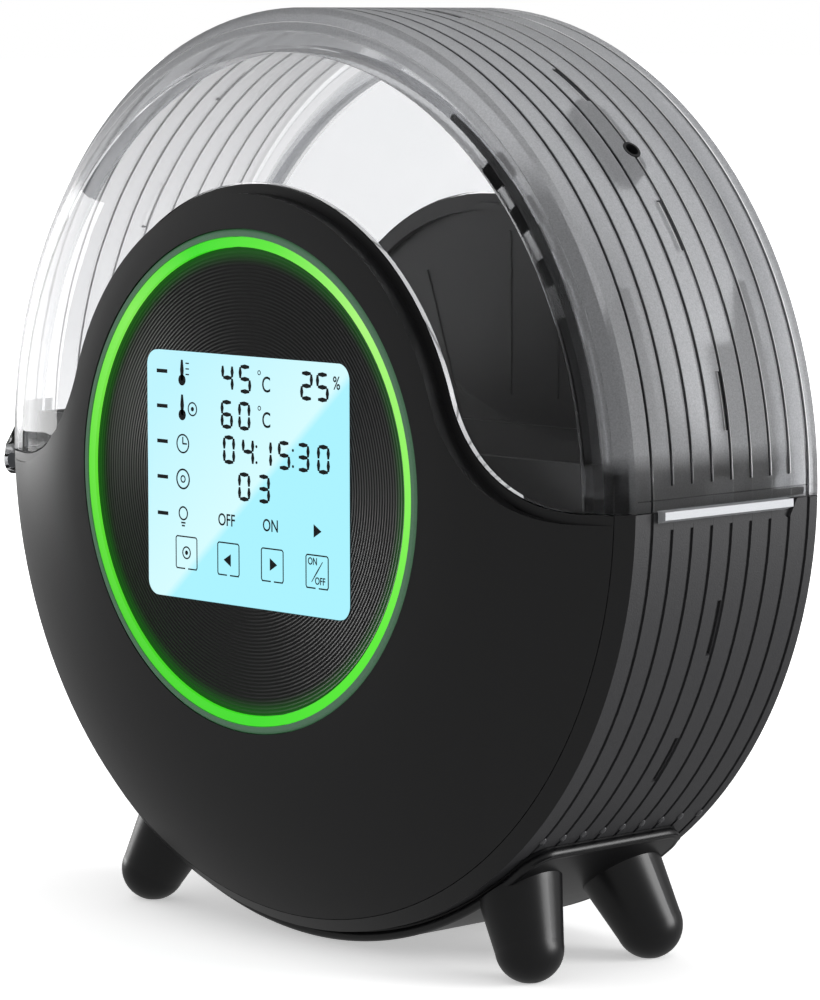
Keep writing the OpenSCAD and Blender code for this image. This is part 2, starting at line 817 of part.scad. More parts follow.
// The ring between a pane and the rim, with the rib behind the pane's edge.
module pane_ring(flat_r, edge_r, rise) {
  spun(seam_a) intersection() {
    crown_skin(flat_r, edge_r, rise, pane_t);
    translate([pane_in, 0]) square([drum_r, face_h]);
  }
  intersection() {
    spun(seam_a) translate([pane_in, half_d - rib_d]) square([rib_t, 2 * rib_d]);
    spun(seam_a) crown(flat_r, edge_r, rise, pane_t / 2);
  }
}
module front_pane()
  color([0.86, 0.88, 0.90, 0.3]) on_drum()
    intersection() {
      spun() intersection() {
        crown_skin(front_flat_r, face_r, pane_rise, pane_t);
        square([pane_in - fit, 2 * face_h]);
      }
      plate(0, 2 * face_h) difference() {
        above(split + lid_gap / 2);
        base_outline(dome_r, 0);
      }
    }

module back_pane()
  color([0.86, 0.88, 0.90, 0.3]) on_drum()
    mirror([0, 0, 1]) intersection() {
      spun() intersection() {
        crown_skin(back_flat_r, back_r, back_rise - 1, pane_t);
        square([pane_in - fit, 2 * face_h]);
      }
      plate(0, 2 * face_h) difference() {
        above(split + lid_gap / 2);
        base_outline(back_dome_r, 0);
      }
    }

module lid_pull()
  color([0.80, 0.81, 0.83]) on_drum()
    plate(pull_mid - pull_half, pull_mid + pull_half)
      polygon([[drum_r + hair, split + 0.5], [drum_r + pull_out, split + 0.3],
        [drum_r + pull_out, split - 2], [drum_r + 0.5, split - 3], [drum_r + 0.5, split + 0.2],
        [drum_r + hair, split + 0.2]]);

module lid_catch()
  color([0.2, 0.2, 0.21]) on_drum()
    plate(-catch_half, catch_half) polygon([[wall_in - 0.2, split + 8], [wall_in - 2, split + 8],
      [wall_in - 2, split - 6], [wall_in - 0.6, split - 6], [wall_in - 0.6, split + 0.5],
      [wall_in - 0.2, split + 0.5]]);

// The dark strip inside the front pane's edge, with its four clips.
module pane_trim()
  color([0.05, 0.05, 0.05]) on_drum() {
    spun(trim_from, trim_to - trim_from)
      translate([tub_out - trim_in, trim_h - trim_t / 2]) square([trim_w, trim_t]);
    for (a = trim_angles)
      spun(a - clip_turn / 2, clip_turn) translate([tub_out, trim_h - trim_t / 2]) square([clip_len, trim_t]);
  }

module lid_seal()
  color([0.15, 0.15, 0.15]) on_drum()
    difference() {
      for (side = [-1, 1])
        plate(-half_d + 6, half_d - 8)
          translate([side * (wall_in - 0.65) - 0.6, split + 0.6]) square([1.2, 2]);
      plate(-catch_half - fit, catch_half + fit) translate([wall_in - 3, split]) square(4);
    }

// The long boss under the lid's shoulder, with the tube that the filament comes out through.
module outlet_tray()
  color([0.18, 0.18, 0.19]) on_drum()
    difference() {
      union() {
        difference() {
          intersection() {
            tray_block(tray_w, wall_in - tray_t - 1);
            spun() translate([wall_in - tray_t, -half_d]) square([tray_t - 0.05, rim_depth]);
          }
          tray_block(tray_w - 2 * tray_wall, wall_in - tray_t + tray_floor);
        }
        at_outlet() translate([0, 0, 0.5 - wall - tray_t]) cylinder(r = collar_r, h = wall + tray_t - 0.35);
      }
      at_outlet() translate([0, 0, -wall - tray_t - 2]) cylinder(r = outlet_r, h = 20);
    }

// A long block with round ends that stands on the rim's inside, outward from a radius.
module tray_block(width, from_r) {
  spun(tray_from, tray_turn)
    translate([from_r, tray_h - width / 2 + lap]) square([tray_t + 2, width - 2 * lap]);
  for (a = [tray_from, tray_from + tray_turn])
    rotate([0, 0, a]) translate([from_r, 0, tray_h]) rotate([0, 90, 0])
      cylinder(r = width / 2, h = tray_t + 2);
}

front_shell();
base_rim();
back_shell();
inner_tub();
guide_fins();
heater_plate();
heater_film();
thermal_cutout();
bay_sensor();
roller_shafts();
roller_front_left();
roller_front_right();
roller_back_left();
roller_back_right();
panel_back();
face_disc();
light_ring();
ring_bezel();
touch_glass();
display_module();
light_board();
light_chips();
display_board();
flex_cable();
power_board();
board_screws();
dc_inlet();
stand();
stand_screws();
back_screws();
hinge_brackets();
hinge_pins();
lid_rim();
front_pane();
back_pane();
lid_pull();
lid_catch();
lid_hinge_arms();
pane_trim();
lid_seal();
outlet_tray();
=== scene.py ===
# %% [markdown]
# # A filament dryer box
# A flat round drum on four splayed legs keeps one spool of printer filament warm and dry. This
# lesson starts from the drum's exact solids, gives each its real finish, and models by hand what
# the solids leave out. Everything is in metres: +X right, +Y back, +Z up, the origin on the table.
# The frame is loaded first.

# %% Load the frame
import math
import bpy
from mathutils import Matrix, Vector


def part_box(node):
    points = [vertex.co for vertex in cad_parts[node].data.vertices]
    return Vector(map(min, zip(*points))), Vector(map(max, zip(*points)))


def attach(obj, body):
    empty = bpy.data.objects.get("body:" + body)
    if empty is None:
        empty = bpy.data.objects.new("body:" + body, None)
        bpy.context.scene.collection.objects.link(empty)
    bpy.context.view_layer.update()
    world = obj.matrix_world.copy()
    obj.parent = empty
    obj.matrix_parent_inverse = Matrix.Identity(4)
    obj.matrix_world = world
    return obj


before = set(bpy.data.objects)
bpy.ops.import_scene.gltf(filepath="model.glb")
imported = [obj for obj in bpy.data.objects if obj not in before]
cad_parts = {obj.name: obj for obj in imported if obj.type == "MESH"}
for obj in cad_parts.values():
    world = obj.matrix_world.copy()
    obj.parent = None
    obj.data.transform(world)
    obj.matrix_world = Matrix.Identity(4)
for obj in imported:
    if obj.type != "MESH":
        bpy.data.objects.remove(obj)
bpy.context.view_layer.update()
MM = 0.001

# %% [markdown]
# ## Where the drum is
# Sizes that the dressing needs are read back from the solids, so that they can't drift from them.
# The drum's axis runs front to back, halfway up the round rim, and the front is at -Y.

# %% Read the drum's sizes
def middle(node):
    low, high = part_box(node)
    return (low + high) / 2


def half(node):
    low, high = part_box(node)
    return (high - low) / 2


stand_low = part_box("base_rim")[0].z
drum_r = half("base_rim").x
axis_z = stand_low + drum_r
ring_z = middle("light_ring").z
ring_r = half("light_ring").x
glass_low, glass_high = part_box("touch_glass")
print("drum radius", round(drum_r, 4), "axis height", round(axis_z, 4), "ring", round(ring_r, 4))

# %% [markdown]
# ## Colours and nodes
# A colour is written as it looks on a screen, in hex, and one function turns it into the linear
# values that the renderer mixes light with. One more function adds a node with its settings and
# links, so that each material below reads as a short recipe.

# %% Colour and node helpers
def linear(hex_colour):
    channels = [int(hex_colour[i:i + 2], 16) / 255 for i in (1, 3, 5)]
    return [c / 12.92 if c <= 0.04045 else ((c + 0.055) / 1.055) ** 2.4 for c in channels] + [1.0]


def add(tree, kind, settings=None, links=None, **choices):
    made = tree.nodes.new(kind)
    for name, value in choices.items():
        setattr(made, name, value)
    for socket, value in (settings or {}).items():
        made.inputs[socket].default_value = value
    for socket, source in (links or {}).items():
        tree.links.new(source, made.inputs[socket])
    return made


def start_material(name, settings):
    material = bpy.data.materials.new(name)
    material.use_nodes = True
    tree = material.node_tree
    shader = tree.nodes["Principled BSDF"]
    for socket, value in settings.items():
        shader.inputs[socket].default_value = value
    return material, tree, shader


def grain(tree, shader, size, depth, strength=0.5):
    """Fine moulded grain: noise about size across, as a bump depth high."""
    place = add(tree, "ShaderNodeTexCoord")
    noise = add(tree, "ShaderNodeTexNoise", {"Scale": 1 / size, "Detail": 2.0, "Roughness": 0.6},
                {"Vector": place.outputs["Object"]})
    bump = add(tree, "ShaderNodeBump", {"Strength": strength, "Distance": depth},
               {"Height": noise.outputs["Fac"]})
    tree.links.new(bump.outputs["Normal"], shader.inputs["Normal"])
    return noise


def vary(tree, shader, noise, dark, light):
    """Lets the grain's hollows and peaks differ a little in colour."""
    blend = add(tree, "ShaderNodeMixRGB", {"Color1": linear(dark), "Color2": linear(light)},
                {"Fac": noise.outputs["Fac"]})
    tree.links.new(blend.outputs["Color"], shader.inputs["Base Color"])


print("orange in linear values", [round(c, 3) for c in linear("#FF8000")])

# %% [markdown]
# ## Moulded black plastics
# The housing is ABS from a mould with a fine satin texture: soft, wide highlights. The rim's
# texture is coarser, which breaks the highlight up and reads as dark grey. The stand's mould had no
# texture, only faint waves a few millimetres across, so its highlights are unbroken and its black is
# deeper. Real grain is about a tenth of a millimetre, too fine to show, so it is drawn a few times
# coarser.

# %% Black plastics
def satin_abs():
    material, tree, shader = start_material("satin_moulded_abs", {"Roughness": 0.34, "IOR": 1.5})
    noise = grain(tree, shader, 0.35 * MM, 0.03 * MM, 0.2)
    vary(tree, shader, noise, "#101011", "#171718")
    return material


def textured_abs():
    material, tree, shader = start_material("spark_textured_abs", {"Roughness": 0.55, "IOR": 1.5})
    noise = grain(tree, shader, 0.5 * MM, 0.12 * MM, 0.6)
    vary(tree, shader, noise, "#262628", "#3A3A3C")
    return material


def inner_plastic():
    material, tree, shader = start_material("plain_moulded_inner_plastic", {"Roughness": 0.5})
    noise = grain(tree, shader, 0.8 * MM, 0.05 * MM, 0.3)
    vary(tree, shader, noise, "#121214", "#19191B")
    return material


def smooth_abs():
    material, tree, shader = start_material("smooth_moulded_abs", {"Roughness": 0.34, "IOR": 1.52})
    waves = grain(tree, shader, 6 * MM, 0.04 * MM, 0.2)
    vary(tree, shader, waves, "#08080A", "#0D0D0F")
    return material


satin_black = satin_abs()
rim_black = textured_abs()
tub_black = inner_plastic()
smooth_black = smooth_abs()
print("made", [m.name for m in (satin_black, rim_black, tub_black, smooth_black)])

# %% [markdown]
# ## The lid's clear parts
# The lid is smoky polycarbonate. Its panes and its hinge arms are polished and nearly clear. The
# smoke is in the plastic itself, so it is a volume that takes light away along the way: edges, where
# the way is long, turn dark. The cut edges also get a dark colour, which is painted shade on top of
# that. Polycarbonate's own IOR is 1.58. A lower one bends and mirrors less, which is how such thin
# walls look.

# %% Clear polycarbonate
def smoke(tree, shade, density):
    """Grey that takes away light all through the wall; density is per metre."""
    haze = add(tree, "ShaderNodeVolumeAbsorption", {"Color": linear(shade), "Density": density})
    tree.links.new(haze.outputs["Volume"], tree.nodes["Material Output"].inputs["Volume"])


def clear_polycarbonate(name, edge):
    """Faces that look forward or back stay pale; all others count as cut edges and get the edge colour, a
    painted shade.
    """
    material, tree, shader = start_material(name, {
        "Roughness": 0.02, "IOR": 1.25, "Transmission Weight": 1.0})
    waves = grain(tree, shader, 40 * MM, 0.02 * MM, 0.05)
    flat = add(tree, "ShaderNodeMixRGB", {"Color1": linear("#ECEDEE"), "Color2": linear("#F3F3F4")},
               {"Fac": waves.outputs["Fac"]})
    place = add(tree, "ShaderNodeTexCoord")
    facing = add(tree, "ShaderNodeSeparateXYZ", links={0: place.outputs["Normal"]})
    forward = add(tree, "ShaderNodeMath", links={0: facing.outputs["Y"]}, operation="ABSOLUTE")
    edge_shade_mask = add(tree, "ShaderNodeMath", {1: 0.5}, {0: forward.outputs[0]}, operation="LESS_THAN")
    # Painted shade: the cut edges take the dark edge colour.
    with_painted_shade = add(tree, "ShaderNodeMixRGB", {"Color2": linear(edge)},
                 {"Fac": edge_shade_mask.outputs[0], "Color1": flat.outputs["Color"]})
    tree.links.new(with_painted_shade.outputs["Color"], shader.inputs["Base Color"])
    smoke(tree, "#808080", 70)
    return material


# The second colour is the painted shade that the cut edges get.
clear_pc = clear_polycarbonate("polished_clear_polycarbonate", "#77797C")
pane_pc = clear_polycarbonate("polished_pane_polycarbonate", "#38393B")
print("made", clear_pc.name, pane_pc.name)

# %% [markdown]
# ## The lid's frosted rim
# The rim was moulded against a sandblasted surface, so light that passes through spreads, and what
# lies behind shows only as soft dark shapes. Rough transmission does that, and since a blasted
# surface also throws part of the light straight back, half of it is diffuse there. The blasting is
# on the outer skin alone. Where the panes sit, the rim is polished inside, so the trim behind it
# stays crisp. Near its lower edge all light passes, and the tub's dark lip shows through. The
# grooves are narrow and hold little light, so their sides and floors get a painted shade, near black.

# %% Zones of the rim
polished_r, polished_y = 132.3 * MM, 34 * MM
groove_depth, grooved_y = 0.8 * MM, 36 * MM
lip_hidden_z, lip_seen_z = axis_z + 15 * MM, axis_z + 9 * MM


def from_axis(tree, height):
    """A point's place seen from the front, measured from an axis at that height."""
    place = add(tree, "ShaderNodeTexCoord")
    moved = add(tree, "ShaderNodeMapping", {"Location": (0, 0, -height)},
                {"Vector": place.outputs["Object"]})
    return add(tree, "ShaderNodeVectorMath", {1: (1, 0, 1)}, {0: moved.outputs["Vector"]},
               operation="MULTIPLY")


def beside_panes(tree, away, across):
    """1 in the polished zone: near the drum's front or back, and inside polished_r."""
    fade = 1 * MM
    beside = add(tree, "ShaderNodeMath", {1: polished_y}, {0: across}, operation="GREATER_THAN")
    within = add(tree, "ShaderNodeMapRange", {"From Min": polished_r + fade, "From Max": polished_r},
                 {"Value": away})
    polished = add(tree, "ShaderNodeMath", links={0: beside.outputs[0], 1: within.outputs["Result"]},
                   operation="MULTIPLY")
    return polished.outputs[0]


def entering(tree):
    """1 where light comes into the plastic, and 0 where it leaves it again."""
    side = add(tree, "ShaderNodeNewGeometry")
    outside = add(tree, "ShaderNodeMapRange", {"To Min": 1.0, "To Max": 0.0},
                  {"Value": side.outputs["Backfacing"]})
    return outside.outputs["Result"]


def outer_skin(tree, place, entered):
    """1 where light comes in through skin that looks away from the drum's middle."""
    from_middle = add(tree, "ShaderNodeMapping", {"Location": (0, 0, -axis_z)},
                      {"Vector": place.outputs["Object"]})
    facing_out = add(tree, "ShaderNodeVectorMath", operation="DOT_PRODUCT",
                     links={0: place.outputs["Normal"], 1: from_middle.outputs["Vector"]})
    outer = add(tree, "ShaderNodeMath", {1: 0.0}, {0: facing_out.outputs["Value"]},
                operation="GREATER_THAN")
    skin = add(tree, "ShaderNodeMath", links={0: outer.outputs[0], 1: entered}, operation="MULTIPLY")
    return skin.outputs[0]


def in_grooves(tree, away, across, entered):
    """1 on the sides and floors of the grooves, where light comes in: where the painted shade goes."""
    mouth_start, mouth_full = drum_r - 0.1 * MM, drum_r - 0.35 * MM
    wall_start, wall_full = drum_r - groove_depth - 0.5 * MM, drum_r - groove_depth - 0.3 * MM
    below_top = add(tree, "ShaderNodeMapRange", {"From Min": mouth_start, "From Max": mouth_full},
                    {"Value": away})
    above_wall = add(tree, "ShaderNodeMapRange", {"From Min": wall_start, "From Max": wall_full},
                     {"Value": away})
    on_rim = add(tree, "ShaderNodeMath", {1: grooved_y}, {0: across}, operation="LESS_THAN")
    between = add(tree, "ShaderNodeMath", operation="MULTIPLY",
                  links={0: below_top.outputs["Result"], 1: above_wall.outputs["Result"]})
    cut = add(tree, "ShaderNodeMath", links={0: between.outputs[0], 1: on_rim.outputs[0]},
              operation="MULTIPLY")
    painted_groove_shade = add(tree, "ShaderNodeMath", links={0: cut.outputs[0], 1: entered},
                    operation="MULTIPLY")
    return painted_groove_shade.outputs[0]


print("polished inside", round(polished_r, 4), "of a drum", round(drum_r, 4))

# %% Frosted polycarbonate
def frosted_polycarbonate():
    material, tree, shader = start_material("sandblasted_smoky_polycarbonate", {"IOR": 1.22})
    noise = grain(tree, shader, 0.5 * MM, 0.05 * MM, 0.35)
    place = add(tree, "ShaderNodeTexCoord")
    parts = add(tree, "ShaderNodeSeparateXYZ", links={0: place.outputs["Object"]})
    across = add(tree, "ShaderNodeMath", links={0: parts.outputs["Y"]}, operation="ABSOLUTE").outputs[0]
    away = add(tree, "ShaderNodeVectorMath", links={0: from_axis(tree, axis_z).outputs["Vector"]},
               operation="LENGTH").outputs["Value"]
    entered = entering(tree)
    polished = beside_panes(tree, away, across)
    rough = add(tree, "ShaderNodeMapRange", {"To Min": 0.36, "To Max": 0.05}, {"Value": polished})
    tree.links.new(rough.outputs["Result"], shader.inputs["Roughness"])

    blasted = add(tree, "ShaderNodeMath", operation="SUBTRACT",
                  links={0: outer_skin(tree, place, entered), 1: polished})
    blasted.use_clamp = True
    above_lip = add(tree, "ShaderNodeMapRange", {"From Min": lip_seen_z, "From Max": lip_hidden_z},
                    {"Value": parts.outputs["Z"]})
    scattering = add(tree, "ShaderNodeMath", operation="MULTIPLY",
                     links={0: blasted.outputs[0], 1: above_lip.outputs["Result"]})
    passed = add(tree, "ShaderNodeMapRange", {"To Min": 1.0, "To Max": 0.5},
                 {"Value": scattering.outputs[0]})
    tree.links.new(passed.outputs["Result"], shader.inputs["Transmission Weight"])

    frost = add(tree, "ShaderNodeMixRGB", {"Color1": linear("#6C6D70"), "Color2": linear("#B4B5B8")},
                {"Fac": noise.outputs["Fac"]})
    bare = add(tree, "ShaderNodeMixRGB", {"Color1": linear("#EEEEEF"), "Color2": linear("#C6C7C9")},
               {"Fac": polished})
    shade = add(tree, "ShaderNodeMixRGB", links={"Fac": blasted.outputs[0],
                                                 "Color1": bare.outputs["Color"],
                                                 "Color2": frost.outputs["Color"]})
    # Painted shade: the grooves' sides and floors turn near black.
    with_painted_shade = add(tree, "ShaderNodeMixRGB", {"Color2": linear("#151517")},
                 {"Fac": in_grooves(tree, away, across, entered), "Color1": shade.outputs["Color"]})
    tree.links.new(with_painted_shade.outputs["Color"], shader.inputs["Base Color"])
    smoke(tree, "#808080", 34)
    return material


frosted_pc = frosted_polycarbonate()
print("made", frosted_pc.name)

# %% [markdown]
# ## The panel's finishes
# The disc round the screen is black plastic turned with fine rings, which catch the light like an
# old record. Near its edge the disc itself gives off a little green light, a painted glow for the
# guide's spill. The light guide is a ring lit green from behind: it gives off light, and its colour
# runs a little towards yellow where the light chips are brightest. Its outer edge is dimmer. The
# screen is a lit liquid crystal panel under touch glass, and a slanted sheen across it is a painted
# reflection in the screen's own light.

# %% Panel finishes
def glow_near(tree, away, start, full, strength):
    """Painted glow for light that spills onto a surface: the surface gives it off itself, from none at one
    radius to its full strength at another.
    """
    near = add(tree, "ShaderNodeMapRange", {"From Min": start, "From Max": full, "To Max": strength},
               {"Value": away.outputs["Value"]}, interpolation_type="SMOOTHERSTEP")
    return near.outputs["Result"]


def turned_disc():
    material, tree, shader = start_material("turned_black_plastic", {
        "Roughness": 0.4, "IOR": 1.4, "Base Color": linear("#0A0A0B"), "Emission Color": linear("#2FE02A")})
    away = add(tree, "ShaderNodeVectorMath", links={0: from_axis(tree, ring_z).outputs["Vector"]},
               operation="LENGTH")
    ring_pitch = 1.1 * MM
    spill_start, spill_full = ring_r - 9 * MM, ring_r - 3 * MM
    turns = add(tree, "ShaderNodeMath", {1: 2 * math.pi / ring_pitch}, {0: away.outputs["Value"]},
                operation="MULTIPLY")
    wave = add(tree, "ShaderNodeMath", links={0: turns.outputs[0]}, operation="SINE")
    bump = add(tree, "ShaderNodeBump", {"Strength": 0.8, "Distance": 0.1 * MM},
               {"Height": wave.outputs[0]})
    tree.links.new(bump.outputs["Normal"], shader.inputs["Normal"])
    # Painted glow: green light given off by the disc's own edge, as if lit by the guide.
    painted_spill = glow_near(tree, away, spill_start, spill_full, 0.09)
    tree.links.new(painted_spill, shader.inputs["Emission Strength"])
    return material


def lit_guide():
    material, tree, shader = start_material("lit_green_light_guide", {
        "Roughness": 0.5, "Base Color": linear("#1C6A10"), "Emission Strength": 0.86})
    spread = add(tree, "ShaderNodeSeparateXYZ", links={0: from_axis(tree, ring_z).outputs["Vector"]})
    angle = add(tree, "ShaderNodeMath", links={0: spread.outputs["Z"], 1: spread.outputs["X"]},
                operation="ARCTAN2")
    part = add(tree, "ShaderNodeMapRange", {"From Min": -math.pi, "From Max": math.pi},
               {"Value": angle.outputs[0]})
    ramp = add(tree, "ShaderNodeValToRGB", links={"Fac": part.outputs["Result"]})
    hues = ((0.0, "#6BE83C"), (0.12, "#4FD92A"), (0.26, "#3BE01C"), (0.4, "#5CF02E"), (0.5, "#8DF75A"),
            (0.62, "#B4FB80"), (0.72, "#5FEA34"), (0.8, "#39E01C"), (0.88, "#8CF35C"), (1.0, "#6BE83C"))
    stops = ramp.color_ramp.elements
    for _ in hues[2:]:
        stops.new(0.5)
    for stop, (position, hue) in zip(stops, hues):
        stop.position = position
        stop.color = linear(hue)
    tree.links.new(ramp.outputs["Color"], shader.inputs["Emission Color"])
    return material


def guide_edge():
    material, tree, shader = start_material("dim_edge_of_light_guide", {
        "Roughness": 0.4, "Emission Strength": 0.14, "Emission Color": linear("#48A858")})
    noise = grain(tree, shader, 1 * MM, 0.03 * MM, 0.2)
    vary(tree, shader, noise, "#46594F", "#53695F")
    return material


def lit_screen():
    material, tree, shader = start_material("lit_liquid_crystal_screen", {
        "Roughness": 0.12, "Base Color": linear("#0E1516"), "Emission Strength": 1.0})
    # Painted reflection: on one side of a slanted line the screen's light is paler, as glare on the glass.
    sheen_lean = math.radians(-49)
    sheen_start, sheen_full, pale_left = 3 * MM, 6 * MM, -45 * MM
    centred = from_axis(tree, screen_middle)
    turned = add(tree, "ShaderNodeMapping", {"Rotation": (0, sheen_lean, 0)},
                 {"Vector": centred.outputs["Vector"]})
    parts = add(tree, "ShaderNodeSeparateXYZ", links={0: turned.outputs["Vector"]})
    side = add(tree, "ShaderNodeMapRange", {"From Min": sheen_start, "From Max": sheen_full},
               {"Value": parts.outputs["X"]})
    rising = add(tree, "ShaderNodeMapRange", {"From Min": pale_left, "From Max": sheen_start},
                 {"Value": parts.outputs["X"]})
    upper = add(tree, "ShaderNodeMixRGB", {"Color1": linear("#BDF3FF"), "Color2": linear("#D4FAFF")},
                {"Fac": rising.outputs["Result"]})
    painted_sheen = add(tree, "ShaderNodeMixRGB", {"Color2": linear("#A9F1FE")},
                {"Fac": side.outputs["Result"], "Color1": upper.outputs["Color"]})
    tree.links.new(painted_sheen.outputs["Color"], shader.inputs["Emission Color"])
    return material


screen_middle = (glass_low.z + glass_high.z) / 2
disc_black = turned_disc()
light_green = lit_guide()
bezel_green = guide_edge()
screen_lit = lit_screen()
print("made", [m.name for m in (disc_black, light_green, bezel_green, screen_lit)])

# %% [markdown]
# ## Metals and the small parts inside
# The pull wears satin paint with fine metal flakes. The rollers' shafts are ground steel, the
# heating plate is rolled aluminium, and the boards are glass fibre under green lacquer. The heater's
# film and the flat cable are polyimide, which is amber, and the seal is matt silicone rubber.
# Shafts, rollers and plate hide until the lid opens, and then they are what one looks at.

# %% Metals and inner parts
def brushed_metal(name, colour, roughness, along):
    """Brushing: noise stretched scratch_long times along one axis, so that scratches run that way."""
    material, tree, shader = start_material(name, {"Metallic": 1.0, "Roughness": roughness,
                                                   "Base Color": linear(colour)})
    place = add(tree, "ShaderNodeTexCoord")
    scratch_w, scratch_long = 0.3 * MM, 60
    scale = [(1 / scratch_long if axis == along else 1.0) for axis in "xyz"]
    stretched = add(tree, "ShaderNodeMapping", {"Scale": scale}, {"Vector": place.outputs["Object"]})
    noise = add(tree, "ShaderNodeTexNoise", {"Scale": 1 / scratch_w, "Detail": 2.0},
                {"Vector": stretched.outputs["Vector"]})
    bump = add(tree, "ShaderNodeBump", {"Strength": 0.3, "Distance": 0.02 * MM},
               {"Height": noise.outputs["Fac"]})
    tree.links.new(bump.outputs["Normal"], shader.inputs["Normal"])
    return material


def moulded(name, dark, light, roughness, grain_size=0.6 * MM):
    material, tree, shader = start_material(name, {"Roughness": roughness})
    noise = grain(tree, shader, grain_size, 0.05 * MM, 0.3)
    vary(tree, shader, noise, dark, light)
    return material


def satin_silver_paint():
    """Paint with fine metal flakes: part metal, part white haze."""
    material, tree, shader = start_material("satin_silver_paint", {"Metallic": 0.5, "Roughness": 0.4})
    flakes = grain(tree, shader, 0.3 * MM, 0.02 * MM, 0.3)
    vary(tree, shader, flakes, "#A4A6A9", "#BEC0C3")
    return material


finish_of = {
    "front_shell": satin_black, "back_shell": satin_black, "base_rim": rim_black,
    "inner_tub": tub_black, "guide_fins": tub_black, "panel_back": tub_black,
    "hinge_brackets": rim_black, "stand": smooth_black, "dc_inlet": tub_black,
    "face_disc": disc_black, "light_ring": light_green, "ring_bezel": bezel_green,
    "touch_glass": screen_lit,
    "lid_rim": frosted_pc, "lid_hinge_arms": clear_pc, "front_pane": pane_pc, "back_pane": pane_pc,
    "pane_trim": moulded("moulded_black_nylon", "#060607", "#0B0B0C", 0.5),
    "lid_catch": tub_black, "outlet_tray": tub_black,
    "lid_pull": satin_silver_paint(),
    "roller_shafts": brushed_metal("ground_steel", "#B9BBBE", 0.22, "y"),
    "hinge_pins": brushed_metal("ground_steel_pins", "#5C5E62", 0.35, "y"),
    "heater_plate": brushed_metal("rolled_aluminium_sheet", "#C4C6C9", 0.38, "y"),
    "heater_film": moulded("polyimide_heater_film", "#7A3D0C", "#8C4A12", 0.3),
    "thermal_cutout": moulded("glazed_ceramic", "#D2CFC6", "#DCD9D0", 0.35),
    "bay_sensor": moulded("lacquered_sensor_board", "#0B4A22", "#10582A", 0.35),
    "light_board": moulded("lacquered_light_board", "#0C4C24", "#12592B", 0.35),
    "display_board": moulded("lacquered_display_board", "#0B4A22", "#10582A", 0.35),
    "power_board": moulded("lacquered_power_board", "#0B4A22", "#10582A", 0.35),
    "display_module": moulded("display_housing", "#B8BABC", "#C4C6C8", 0.45),
    "light_chips": moulded("epoxy_light_chips", "#E2E0C8", "#EEECD8", 0.3),
    "flex_cable": moulded("polyimide_flat_cable", "#8A5316", "#9A6020", 0.35),
    "board_screws": brushed_metal("zinc_plated_steel", "#B4B6BA", 0.3, "z"),
    "stand_screws": brushed_metal("zinc_plated_stand_steel", "#B4B6BA", 0.3, "z"),
    "back_screws": brushed_metal("black_oxide_steel", "#2A2A2C", 0.4, "z"),
    "lid_seal": moulded("silicone_rubber", "#151516", "#1C1C1D", 0.65),
}
roller_black = moulded("acetal_rollers", "#1B1B1C", "#242426", 0.4)
for end in ("front", "back"):
    for side in ("left", "right"):
        finish_of[f"roller_{end}_{side}"] = roller_black

for name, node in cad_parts.items():
    node.data.materials.clear()
    node.data.materials.append(finish_of[name])
print("finished", len(finish_of), "of", len(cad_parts), "solids")

# %% [markdown]
# ## What the screen shows
# A liquid crystal screen can only darken the shapes that are etched in its glass: seven bars for a
# digit, and small pictures. So a few small functions make a strip, a block, a spot and a letter, and
# everything on the screen is put together from those. The rows show plain figures, and a small
# picture says what each one is. First come the helpers that all modelling by hand below shares.

# %% Helpers for modelling by hand
off_middle = 1e-7


def edit_mode():
    bpy.ops.object.mode_set(mode="EDIT")


def object_mode():
    bpy.ops.object.mode_set(mode="OBJECT")


def pick(piece, test):
    """Selects the vertices whose place passes a test, and leaves edit mode on."""
    edit_mode()
    bpy.ops.mesh.select_mode(type="VERT")
    bpy.ops.mesh.select_all(action="DESELECT")
    object_mode()
    for vertex in piece.data.vertices:
        vertex.select = test(vertex.co)
    edit_mode()


def settle(piece):
    """Moves an object's place into its mesh, so that the object sits at the origin."""
    object_mode()
    bpy.ops.object.select_all(action="DESELECT")
    piece.select_set(True)
    bpy.context.view_layer.objects.active = piece
    bpy.ops.object.transform_apply(location=True, rotation=True, scale=True)
    return piece


def outward(piece):
    """Merges doubles and turns every face outward."""
    edit_mode()
    bpy.ops.mesh.select_all(action="SELECT")
    bpy.ops.mesh.remove_doubles(threshold=0.001 * MM)
    bpy.ops.mesh.normals_make_consistent(inside=False)
    object_mode()
    return piece


def join(pieces, name):
    bpy.ops.object.select_all(action="DESELECT")
    for piece in pieces:
        piece.select_set(True)
    bpy.context.view_layer.objects.active = pieces[0]
    bpy.ops.object.join()
    made = bpy.context.active_object
    made.name = name
    made.data.name = name
    return made


def finish_piece(piece, material, body):
    piece.data.materials.clear()
    piece.data.materials.append(material)
    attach(piece, body)
    return piece


def copy_of(piece):
    twin = piece.copy()
    twin.data = piece.data.copy()
    bpy.context.scene.collection.objects.link(twin)
    return twin


print("vertices count as off the middle past", off_middle, "m")

# %% [markdown]
# ## Flat marks
# Each mark is a flat shape that faces the front, starts just under the glass and is extruded
# forward by a hair, so that it lies on the glass as ink would. Their places and sizes are in
# millimetres from the screen's middle, x to the right and z up.

# %% The screen's flat marks
glass_y = glass_low.y
mark_t, mark_sunk = 0.06 * MM, 0.02 * MM
marks = []


def thicken(flat):
    """Gives a flat shape that faces the front its thickness, from just under the glass forward."""
    bpy.ops.object.select_all(action="DESELECT")
    flat.select_set(True)
    bpy.context.view_layer.objects.active = flat
    edit_mode()
    bpy.ops.mesh.select_all(action="SELECT")
    bpy.ops.mesh.extrude_region_move(TRANSFORM_OT_translate={"value": (0, -mark_t, 0)})
    object_mode()
    outward(flat)
    marks.append(flat)
    return flat


def at_screen(flat, x, z):
    flat.location = (x * MM, glass_y + mark_sunk, screen_middle + z * MM)
    return settle(flat)


